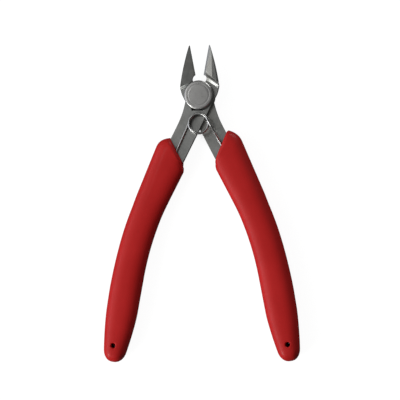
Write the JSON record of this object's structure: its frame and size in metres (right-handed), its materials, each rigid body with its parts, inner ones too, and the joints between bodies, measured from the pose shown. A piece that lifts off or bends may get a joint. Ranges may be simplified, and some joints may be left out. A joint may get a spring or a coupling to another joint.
{
  "type": "diagonal cutting pliers",
  "caption": "Spring-return diagonal cutting pliers: two lapped stamped steel blades on a rivet, with slim bent handles in moulded grips.",
  "frame": {"origin": "on the pivot rivet's axis, at the plane that the tool rests on when it lies flat", "axes": "+Z along the rivet's axis towards its head, +Y towards the jaw tips, +X to the right seen from the head's side"},
  "size_m": [0.0782, 0.1263, 0.0094],
  "materials": {
    "blade_steel": "ground and lightly brushed",
    "rivet_steel": "lathe turned",
    "spring_wire": "bright drawn wire",
    "grip_vinyl": "smooth glossy soft vinyl"
  },
  "bodies": {
    "pivot": {"pivot_rivet": "rivet_steel", "rivet_cap": "rivet_steel", "return_spring": "spring_wire"},
    "front_half": {"front_blade": "blade_steel", "left_grip": "grip_vinyl"},
    "back_half": {"back_blade": "blade_steel", "right_grip": "grip_vinyl"}
  },
  "joints": [
    {"name": "front_hinge", "type": "hinge", "parent": "pivot", "child": "front_half", "pos_m": [0, 0, 0.0055], "axis": [0, 0, 1], "range_deg": [0, 10.5], "stiffness_Nm_per_rad": 0.9, "springref_deg": -1.72, "deforming": ["return_spring"]},
    {"name": "back_hinge", "type": "hinge", "parent": "pivot", "child": "back_half", "pos_m": [0, 0, 0.0035], "axis": [0, 0, 1], "range_deg": [-10.5, 0], "stiffness_Nm_per_rad": 0.9, "springref_deg": 1.72, "deforming": ["return_spring"]}
  ],
  "couplings": [
    {"joint": "back_hinge", "follows": "front_hinge", "ratio": -1}
  ]
}
